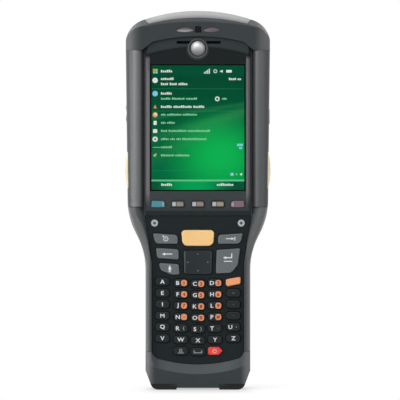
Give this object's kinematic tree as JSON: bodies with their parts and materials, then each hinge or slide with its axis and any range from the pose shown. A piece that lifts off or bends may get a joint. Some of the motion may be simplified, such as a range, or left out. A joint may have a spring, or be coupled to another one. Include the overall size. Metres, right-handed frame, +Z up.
{
  "type": "handheld data terminal",
  "caption": "Rugged handheld scanning computer with a portrait display, lettered keypad, side triggers, rear battery and hand strap.",
  "frame": {"origin": "middle of the footprint, on the surface the terminal stands on", "axes": "+Z up the terminal's length, -Y towards the display and keys, +X to the right of someone facing them"},
  "size_m": [0.0894, 0.0509, 0.2335],
  "materials": {
    "housing": "fine moulded texture",
    "cap": "fine moulded texture",
    "cover": "fine moulded texture",
    "top_strip": "satin light grey",
    "rail": "satin rubberised plastic",
    "feet": "matt rubber",
    "bezel": "satin",
    "glass": "clear hard-coated panel",
    "display": "lit display",
    "badge": "bright dome",
    "receiver": "black",
    "light_pipe": "frosted clear",
    "tinted_window": "dark tinted",
    "keypad_frame": "satin black",
    "mat": "silicone",
    "board": "circuit board",
    "screw": "plated steel",
    "engine": "black",
    "camera": "black",
    "connector": "black with gilt pads",
    "battery": "fine moulded texture",
    "latch": "ribbed",
    "webbing": "woven strap",
    "clip": "satin",
    "trigger": "pale yellow",
    "side_key": "matt",
    "nav_pad": "satin",
    "scan_key": "pale orange",
    "orange_key": "orange",
    "red_key": "red",
    "grey_key": "grey",
    "letter_key": "near black",
    "teal_key": "teal",
    "function_key": "grey",
    "pink_key": "muted pink"
  },
  "bodies": {
    "body": {"front_housing": "housing", "rear_housing": "housing", "top_cover": "cover", "bottom_cap": "cap", "feet": "feet", "side_rail_left": "rail", "side_rail_right": "rail", "display_bezel": "bezel", "touch_panel": "glass", "lcd_module": "display", "badge_dome": "badge", "receiver": "receiver", "light_pipes": "light_pipe", "light_sensor": "tinted_window", "keypad_frame": "keypad_frame", "keypad_mat": "mat", "keypad_board": "board", "keypad_screws": "screw", "main_board": "board", "scan_engine": "engine", "scan_window": "tinted_window", "camera_module": "camera", "loudspeaker": "receiver", "top_strip": "top_strip", "rear_screws": "screw", "io_connector": "connector", "strap_pin": "screw"},
    "battery": {"battery_pack": "battery"},
    "battery_latch_left": {"battery_latch_left": "latch"},
    "battery_latch_right": {"battery_latch_right": "latch"},
    "hand_strap": {"hand_strap": "webbing", "strap_clip": "clip"},
    "nav_stem": {"nav_stem": "mat"},
    "nav_gimbal": {"nav_gimbal": "mat"},
    "nav_pad": {"nav_pad": "nav_pad"},
    "trigger_left": {"trigger_left": "trigger"},
    "trigger_right": {"trigger_right": "trigger"},
    "volume_rocker": {"volume_rocker": "side_key"},
    "side_button": {"side_button": "side_key"},
    "key_scan": {"key_scan": "scan_key"},
    "key_escape": {"key_escape": "grey_key"},
    "key_tab": {"key_tab": "grey_key"},
    "key_backspace": {"key_backspace": "grey_key"},
    "key_shift": {"key_shift": "grey_key"},
    "key_enter": {"key_enter": "grey_key"},
    "key_orange": {"key_orange": "orange_key"},
    "key_function": {"key_function": "letter_key"},
    "key_space": {"key_space": "letter_key"},
    "key_power": {"key_power": "red_key"},
    "function_key_1": {"function_key_1": "teal_key"},
    "function_key_2": {"function_key_2": "function_key"},
    "function_key_3": {"function_key_3": "function_key"},
    "function_key_4": {"function_key_4": "function_key"},
    "function_key_5": {"function_key_5": "pink_key"},
    "letter_keys_row_1": {"letter_keys_row_1": "letter_key"},
    "letter_keys_row_2": {"letter_keys_row_2": "letter_key"},
    "letter_keys_row_3": {"letter_keys_row_3": "letter_key"},
    "letter_keys_row_4": {"letter_keys_row_4": "letter_key"},
    "letter_keys_row_5": {"letter_keys_row_5": "letter_key"},
    "letter_keys_row_6": {"letter_keys_row_6": "letter_key"}
  },
  "joints": [
    {"name": "battery_release", "type": "hinge", "parent": "body", "child": "battery", "pos_m": [0, 0.0055, 0.0335], "axis": [-1, 0, 0], "range_deg": [0, 4.5]},
    {"name": "battery_latch_left_squeeze", "type": "slide", "parent": "battery", "child": "battery_latch_left", "axis": [1, 0, 0], "range_m": [0, 0.0018], "stiffness_N_per_m": 600},
    {"name": "battery_latch_right_squeeze", "type": "slide", "parent": "battery", "child": "battery_latch_right", "axis": [-1, 0, 0], "range_m": [0, 0.0018], "stiffness_N_per_m": 600},
    {"name": "strap_swing", "type": "hinge", "parent": "body", "child": "hand_strap", "pos_m": [0, 0.0195, 0.15878], "axis": [1, 0, 0], "range_deg": [0, 90]},
    {"name": "nav_press", "type": "slide", "parent": "body", "child": "nav_stem", "axis": [0, 1, 0], "range_m": [0, 0.0005], "stiffness_N_per_m": 900},
    {"name": "nav_up_down", "type": "hinge", "parent": "nav_stem", "child": "nav_gimbal", "pos_m": [0, -0.0195, 0.07848], "axis": [1, 0, 0], "range_deg": [-4, 4], "stiffness_Nm_per_rad": 0.05},
    {"name": "nav_left_right", "type": "hinge", "parent": "nav_gimbal", "child": "nav_pad", "pos_m": [0, -0.0195, 0.07848], "axis": [0, 0, 1], "range_deg": [-4, 4], "stiffness_Nm_per_rad": 0.05},
    {"name": "trigger_left_press", "type": "slide", "parent": "body", "child": "trigger_left", "axis": [1, 0, 0], "range_m": [0, 0.0012], "stiffness_N_per_m": 1500},
    {"name": "trigger_right_press", "type": "slide", "parent": "body", "child": "trigger_right", "axis": [-1, 0, 0], "range_m": [0, 0.0012], "stiffness_N_per_m": 1500},
    {"name": "volume_rock", "type": "hinge", "parent": "body", "child": "volume_rocker", "pos_m": [-0.04175, -0.0155, 0.17048], "axis": [0, 1, 0], "range_deg": [-3, 3], "stiffness_Nm_per_rad": 0.2},
    {"name": "side_button_press", "type": "slide", "parent": "body", "child": "side_button", "axis": [-1, 0, 0], "range_m": [0, 0.0008], "stiffness_N_per_m": 900},
    {"name": "key_scan_press", "type": "slide", "parent": "body", "child": "key_scan", "axis": [0, 1, 0], "range_m": [0, 0.0006], "stiffness_N_per_m": 900},
    {"name": "key_escape_press", "type": "slide", "parent": "body", "child": "key_escape", "axis": [0, 1, 0], "range_m": [0, 0.0006], "stiffness_N_per_m": 900},
    {"name": "key_tab_press", "type": "slide", "parent": "body", "child": "key_tab", "axis": [0, 1, 0], "range_m": [0, 0.0006], "stiffness_N_per_m": 900},
    {"name": "key_backspace_press", "type": "slide", "parent": "body", "child": "key_backspace", "axis": [0, 1, 0], "range_m": [0, 0.0006], "stiffness_N_per_m": 900},
    {"name": "key_shift_press", "type": "slide", "parent": "body", "child": "key_shift", "axis": [0, 1, 0], "range_m": [0, 0.0006], "stiffness_N_per_m": 900},
    {"name": "key_enter_press", "type": "slide", "parent": "body", "child": "key_enter", "axis": [0, 1, 0], "range_m": [0, 0.0006], "stiffness_N_per_m": 900},
    {"name": "key_orange_press", "type": "slide", "parent": "body", "child": "key_orange", "axis": [0, 1, 0], "range_m": [0, 0.0006], "stiffness_N_per_m": 900},
    {"name": "key_function_press", "type": "slide", "parent": "body", "child": "key_function", "axis": [0, 1, 0], "range_m": [0, 0.0006], "stiffness_N_per_m": 900},
    {"name": "key_space_press", "type": "slide", "parent": "body", "child": "key_space", "axis": [0, 1, 0], "range_m": [0, 0.0006], "stiffness_N_per_m": 900},
    {"name": "key_power_press", "type": "slide", "parent": "body", "child": "key_power", "axis": [0, 1, 0], "range_m": [0, 0.0006], "stiffness_N_per_m": 900},
    {"name": "function_key_1_press", "type": "slide", "parent": "body", "child": "function_key_1", "axis": [0, 1, 0], "range_m": [0, 0.0006], "stiffness_N_per_m": 900},
    {"name": "function_key_2_press", "type": "slide", "parent": "body", "child": "function_key_2", "axis": [0, 1, 0], "range_m": [0, 0.0006], "stiffness_N_per_m": 900},
    {"name": "function_key_3_press", "type": "slide", "parent": "body", "child": "function_key_3", "axis": [0, 1, 0], "range_m": [0, 0.0006], "stiffness_N_per_m": 900},
    {"name": "function_key_4_press", "type": "slide", "parent": "body", "child": "function_key_4", "axis": [0, 1, 0], "range_m": [0, 0.0006], "stiffness_N_per_m": 900},
    {"name": "function_key_5_press", "type": "slide", "parent": "body", "child": "function_key_5", "axis": [0, 1, 0], "range_m": [0, 0.0006], "stiffness_N_per_m": 900},
    {"name": "letter_keys_row_1_press", "type": "slide", "parent": "body", "child": "letter_keys_row_1", "axis": [0, 1, 0], "range_m": [0, 0.0006], "stiffness_N_per_m": 2500},
    {"name": "letter_keys_row_2_press", "type": "slide", "parent": "body", "child": "letter_keys_row_2", "axis": [0, 1, 0], "range_m": [0, 0.0006], "stiffness_N_per_m": 2500},
    {"name": "letter_keys_row_3_press", "type": "slide", "parent": "body", "child": "letter_keys_row_3", "axis": [0, 1, 0], "range_m": [0, 0.0006], "stiffness_N_per_m": 2500},
    {"name": "letter_keys_row_4_press", "type": "slide", "parent": "body", "child": "letter_keys_row_4", "axis": [0, 1, 0], "range_m": [0, 0.0006], "stiffness_N_per_m": 2500},
    {"name": "letter_keys_row_5_press", "type": "slide", "parent": "body", "child": "letter_keys_row_5", "axis": [0, 1, 0], "range_m": [0, 0.0006], "stiffness_N_per_m": 2500},
    {"name": "letter_keys_row_6_press", "type": "slide", "parent": "body", "child": "letter_keys_row_6", "axis": [0, 1, 0], "range_m": [0, 0.0006], "stiffness_N_per_m": 2500}
  ]
}
